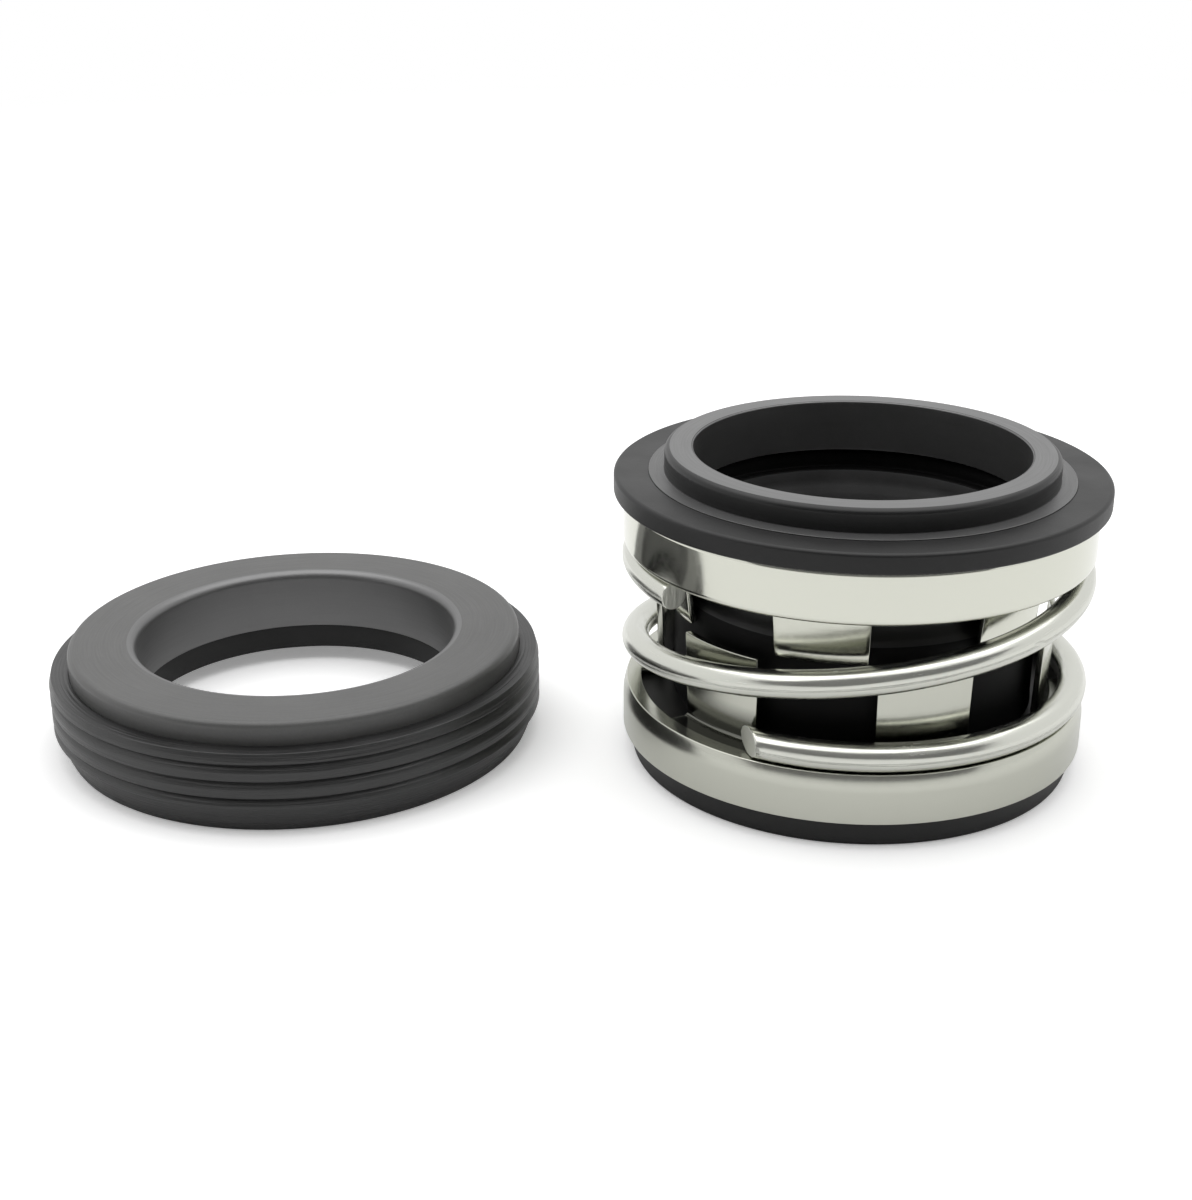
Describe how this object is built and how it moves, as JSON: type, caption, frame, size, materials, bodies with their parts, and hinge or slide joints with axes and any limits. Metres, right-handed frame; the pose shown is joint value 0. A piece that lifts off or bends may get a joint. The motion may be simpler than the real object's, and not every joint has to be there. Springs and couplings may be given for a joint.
{
  "type": "component mechanical seal",
  "caption": "Single-spring rubber-bellows mechanical seal: a sprung rotary head with a raised sealing nose, and the stationary seat in its ribbed rubber boot.",
  "frame": {"origin": "on the head's axis, at the drive end's resting face", "axes": "+Z along the head's axis towards its sealing face; +X from the seat to the head"},
  "size_m": [0.086, 0.044, 0.0257],
  "materials": {
    "primary_ring": "ground and lapped silicon carbide",
    "bellows": "moulded nitrile rubber",
    "shells": "pressed and polished stainless sheet",
    "spring": "drawn stainless wire",
    "seat_ring": "ground and lapped silicon carbide",
    "seat_boot": "moulded nitrile rubber"
  },
  "bodies": {
    "drive_end": {"lower_shell": "shells", "bellows": "bellows", "coil_spring": "spring", "seat_ring": "seat_ring", "seat_boot": "seat_boot"},
    "face_end": {"primary_ring": "primary_ring", "upper_shell": "shells"}
  },
  "joints": [
    {"name": "face_travel", "type": "slide", "parent": "drive_end", "child": "face_end", "axis": [0, 0, -1], "range_m": [0, 0.0045], "stiffness_N_per_m": 3500, "deforming": ["coil_spring", "bellows"]}
  ]
}
